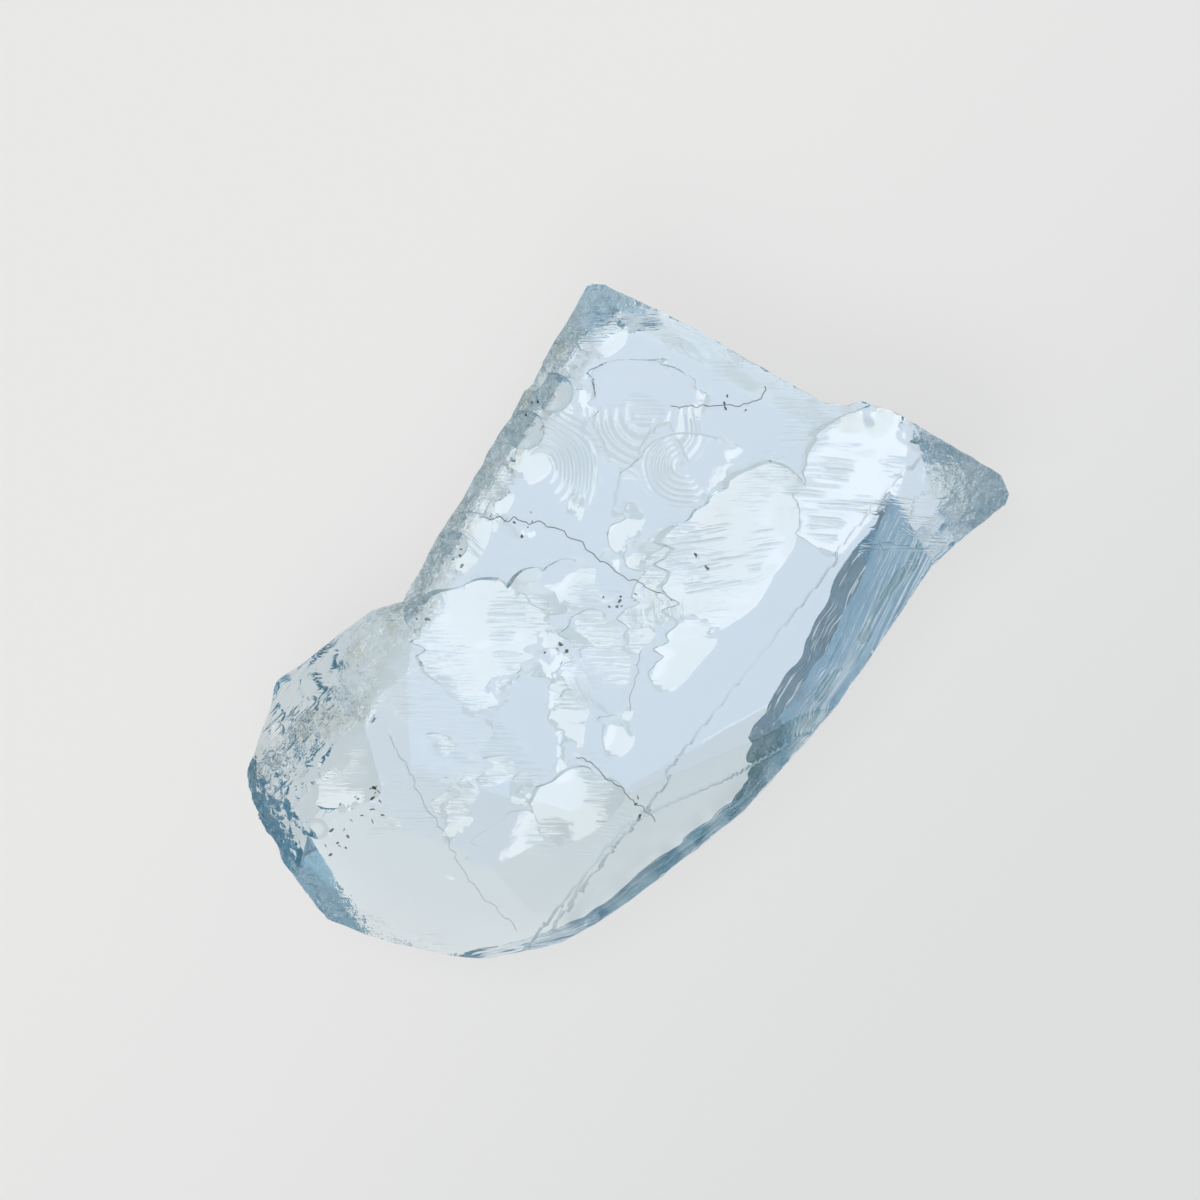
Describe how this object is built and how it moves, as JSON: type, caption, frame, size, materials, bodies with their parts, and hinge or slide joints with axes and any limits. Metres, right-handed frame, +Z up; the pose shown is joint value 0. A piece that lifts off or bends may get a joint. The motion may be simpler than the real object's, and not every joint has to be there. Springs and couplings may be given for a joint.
{
  "type": "aquamarine crystal",
  "caption": "Pale blue clear crystal, one broken piece of a six-sided prism with a striated side face, a flat end and shell-shaped breaks, lying flat",
  "frame": {"origin": "middle of the crystal's box on the surface that it lies on", "axes": "+X along the prism towards its flat end, -Y towards the striated prism face, +Z up out of the large front face"},
  "size_m": [0.0212, 0.0152, 0.0048],
  "materials": {
    "aquamarine": "clear pale blue beryl, refractive index 1.577, glossy breaks with fine ripples"
  },
  "bodies": {
    "root": {"crystal": "aquamarine"}
  },
  "joints": []
}
